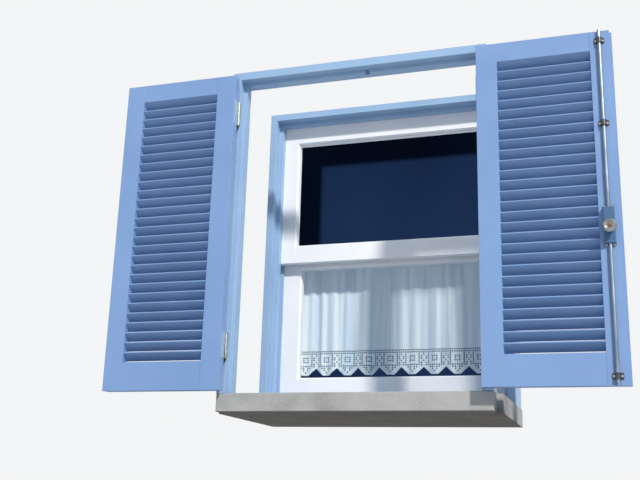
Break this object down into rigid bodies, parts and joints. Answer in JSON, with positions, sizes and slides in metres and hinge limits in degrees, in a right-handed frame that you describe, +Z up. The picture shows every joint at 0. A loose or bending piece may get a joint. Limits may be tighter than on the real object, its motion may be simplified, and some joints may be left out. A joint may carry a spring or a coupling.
{
  "type": "window with shutters",
  "caption": "Sliding sash window in a deep lining with a stone sill, a rebated outer frame and folding louvred shutters closed by a turning rod bolt.",
  "frame": {"origin": "middle of the sill slab's underside", "axes": "+X along the wall to the right as seen from outside, +Y from outside into the room, +Z up"},
  "size_m": [1.838, 0.759, 1.317],
  "materials": {
    "sill_stone": "smooth grey stone, honed",
    "frame_paint": "satin light blue paint on timber",
    "shutter_paint": "satin light blue paint on timber",
    "hinge_steel": "bare steel, lightly worn",
    "screw_steel": "zinc plated steel",
    "bolt_paint": "dark blue paint over steel",
    "guide_steel": "dark weathered steel",
    "rod_steel": "galvanised steel",
    "bolt_steel": "polished steel",
    "brass_fittings": "satin brass",
    "sash_paint": "satin white paint on timber",
    "putty": "painted glazing putty",
    "glass": "clear float glass",
    "curtain_lace": "sheer white cotton with a crocheted edge"
  },
  "bodies": {
    "frame": {"sill_slab": "sill_stone", "outer_head": "frame_paint", "outer_jamb_left": "frame_paint", "outer_jamb_right": "frame_paint", "window_jamb_left": "frame_paint", "window_jamb_right": "frame_paint", "window_head": "frame_paint", "window_sill": "frame_paint", "parting_bead_left": "frame_paint", "parting_bead_right": "frame_paint", "room_bead_left": "frame_paint", "room_bead_right": "frame_paint", "hinge_frame_wing_left_upper": "hinge_steel", "hinge_frame_wing_left_lower": "hinge_steel", "hinge_frame_wing_right_upper": "hinge_steel", "hinge_frame_wing_right_lower": "hinge_steel", "hinge_pins": "hinge_steel", "frame_hinge_screws": "screw_steel", "upper_sash_low_rail": "sash_paint", "upper_sash_top_rail": "sash_paint", "upper_sash_stile_left": "sash_paint", "upper_sash_stile_right": "sash_paint", "upper_sash_putty": "putty", "upper_sash_pane": "glass"},
    "left_shutter": {"hinge_leaf_wing_left_upper": "hinge_steel", "hinge_leaf_wing_left_lower": "hinge_steel", "left_leaf_hinge_stile": "shutter_paint", "left_leaf_free_stile": "shutter_paint", "left_leaf_top_rail": "shutter_paint", "left_leaf_bottom_rail": "shutter_paint", "left_leaf_slats": "shutter_paint", "left_leaf_hinge_screws": "screw_steel"},
    "right_shutter": {"hinge_leaf_wing_right_upper": "hinge_steel", "hinge_leaf_wing_right_lower": "hinge_steel", "right_leaf_hinge_stile": "shutter_paint", "right_leaf_free_stile": "shutter_paint", "right_leaf_top_rail": "shutter_paint", "right_leaf_bottom_rail": "shutter_paint", "right_leaf_slats": "shutter_paint", "right_leaf_hinge_screws": "screw_steel", "bolt_case": "bolt_paint", "bolt_guides": "guide_steel", "bolt_screws": "screw_steel"},
    "knob": {"bolt_spindle": "bolt_steel", "bolt_knob": "bolt_steel", "bolt_knob_screw": "brass_fittings"},
    "upper_rod": {"bolt_rod_upper": "rod_steel"},
    "lower_rod": {"bolt_rod_lower": "rod_steel"},
    "lower_sash": {"lower_sash_low_rail": "sash_paint", "lower_sash_top_rail": "sash_paint", "lower_sash_stile_left": "sash_paint", "lower_sash_stile_right": "sash_paint", "lower_sash_putty": "putty", "lower_sash_pane": "glass", "sash_lifts": "brass_fittings", "curtain_brackets": "brass_fittings", "sash_screws": "screw_steel", "curtain_rod": "brass_fittings", "curtain": "curtain_lace"}
  },
  "joints": [
    {"name": "left_shutter_hinge", "type": "hinge", "parent": "frame", "child": "left_shutter", "pos_m": [-0.458, -0.324, 0.68], "axis": [0, 0, 1], "range_deg": [0, 180]},
    {"name": "right_shutter_hinge", "type": "hinge", "parent": "frame", "child": "right_shutter", "pos_m": [0.458, -0.324, 0.68], "axis": [0, 0, -1], "range_deg": [0, 180]},
    {"name": "bolt_turn", "type": "hinge", "parent": "right_shutter", "child": "knob", "pos_m": [0.878, -0.377, 0.567], "axis": [0, -1, 0], "range_deg": [0, 90]},
    {"name": "upper_rod_slide", "type": "slide", "parent": "right_shutter", "child": "upper_rod", "axis": [0, 0, 1], "range_m": [0, 0.018]},
    {"name": "lower_rod_slide", "type": "slide", "parent": "right_shutter", "child": "lower_rod", "axis": [0, 0, -1], "range_m": [0, 0.018]},
    {"name": "lower_sash_slide", "type": "slide", "parent": "frame", "child": "lower_sash", "axis": [0, 0, 1], "range_m": [0, 0.5]}
  ],
  "couplings": [
    {"joint": "bolt_turn", "follows": "upper_rod_slide", "rad_per_m": 87.266},
    {"joint": "lower_rod_slide", "follows": "upper_rod_slide", "ratio": 1}
  ]
}
